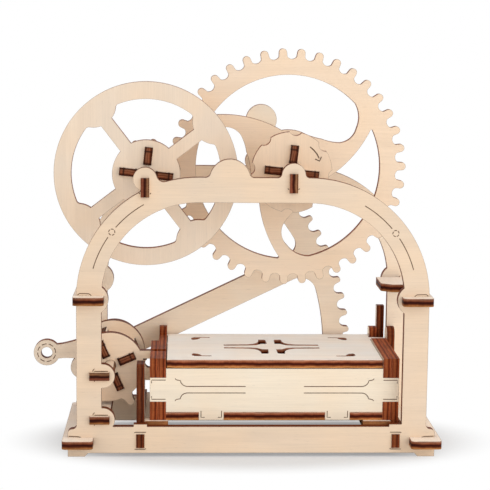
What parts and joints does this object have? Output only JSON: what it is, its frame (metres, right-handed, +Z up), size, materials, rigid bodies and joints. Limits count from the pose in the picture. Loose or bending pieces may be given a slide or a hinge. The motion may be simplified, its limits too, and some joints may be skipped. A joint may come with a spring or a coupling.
{
  "type": "wooden mechanical box kit",
  "caption": "Laser-cut plywood box between two arched frames; a spoked hand wheel, a gear train and a toothed sector lever lift its patterned lid",
  "frame": {"origin": "centre of the whole object's bounding box, at the floor it stands on", "axes": "+X to the right seen from the front, +Y from the front frame to the rear, +Z up"},
  "size_m": [0.207, 0.087, 0.1998],
  "materials": {
    "plywood": "satin"
  },
  "bodies": {
    "frame": {"front_frame": "plywood", "rear_frame": "plywood", "left_shelf": "plywood", "right_shelf": "plywood", "left_foot_board": "plywood", "right_foot_board": "plywood", "lower_tie_bar": "plywood", "left_guide_board": "plywood", "right_guide_board": "plywood", "left_runner": "plywood", "right_runner": "plywood", "right_cheek_plate": "plywood", "wheel_spindle": "plywood", "gear_spindle": "plywood", "lever_spindle": "plywood", "box_front": "plywood", "box_rear": "plywood", "box_bottom": "plywood", "box_left_inner_end": "plywood", "box_left_outer_end": "plywood", "box_right_inner_end": "plywood", "box_right_outer_end": "plywood"},
    "hand_wheel": {"handwheel": "plywood", "wheel_pinion": "plywood", "wheel_keys": "plywood"},
    "gear_train": {"arrow_disc": "plywood", "big_gear": "plywood", "stop_arm": "plywood", "sector_pinion": "plywood", "gear_keys": "plywood"},
    "lever": {"cam_plate": "plywood", "spacer_disc": "plywood", "sector_lever": "plywood", "lever_keys": "plywood"},
    "lid_body": {"lid": "plywood"}
  },
  "joints": [
    {"name": "big_gear_spin", "type": "hinge", "parent": "frame", "child": "gear_train", "pos_m": [0.02914, 0.00825, 0.1397], "axis": [0, 1, 0], "range_deg": [0, 430]},
    {"name": "handwheel_spin", "type": "hinge", "parent": "frame", "child": "hand_wheel", "pos_m": [-0.04266, -0.00625, 0.1373], "axis": [0, 1, 0], "range_deg": [-1678, 0]},
    {"name": "lever_swing", "type": "hinge", "parent": "frame", "child": "lever", "pos_m": [-0.06051, 0.03995, 0.0405], "axis": [0, 1, 0], "range_deg": [-40.1, 0]},
    {"name": "lid_hinge", "type": "hinge", "parent": "frame", "child": "lid_body", "pos_m": [0.02164, 0.03355, 0.0454], "axis": [-1, 0, 0], "range_deg": [0, 33.7]}
  ],
  "couplings": [
    {"joint": "handwheel_spin", "follows": "big_gear_spin", "ratio": -3.9},
    {"joint": "lever_swing", "follows": "big_gear_spin", "ratio": -0.093023},
    {"joint": "lid_hinge", "follows": "big_gear_spin", "ratio": 0.07814}
  ]
}
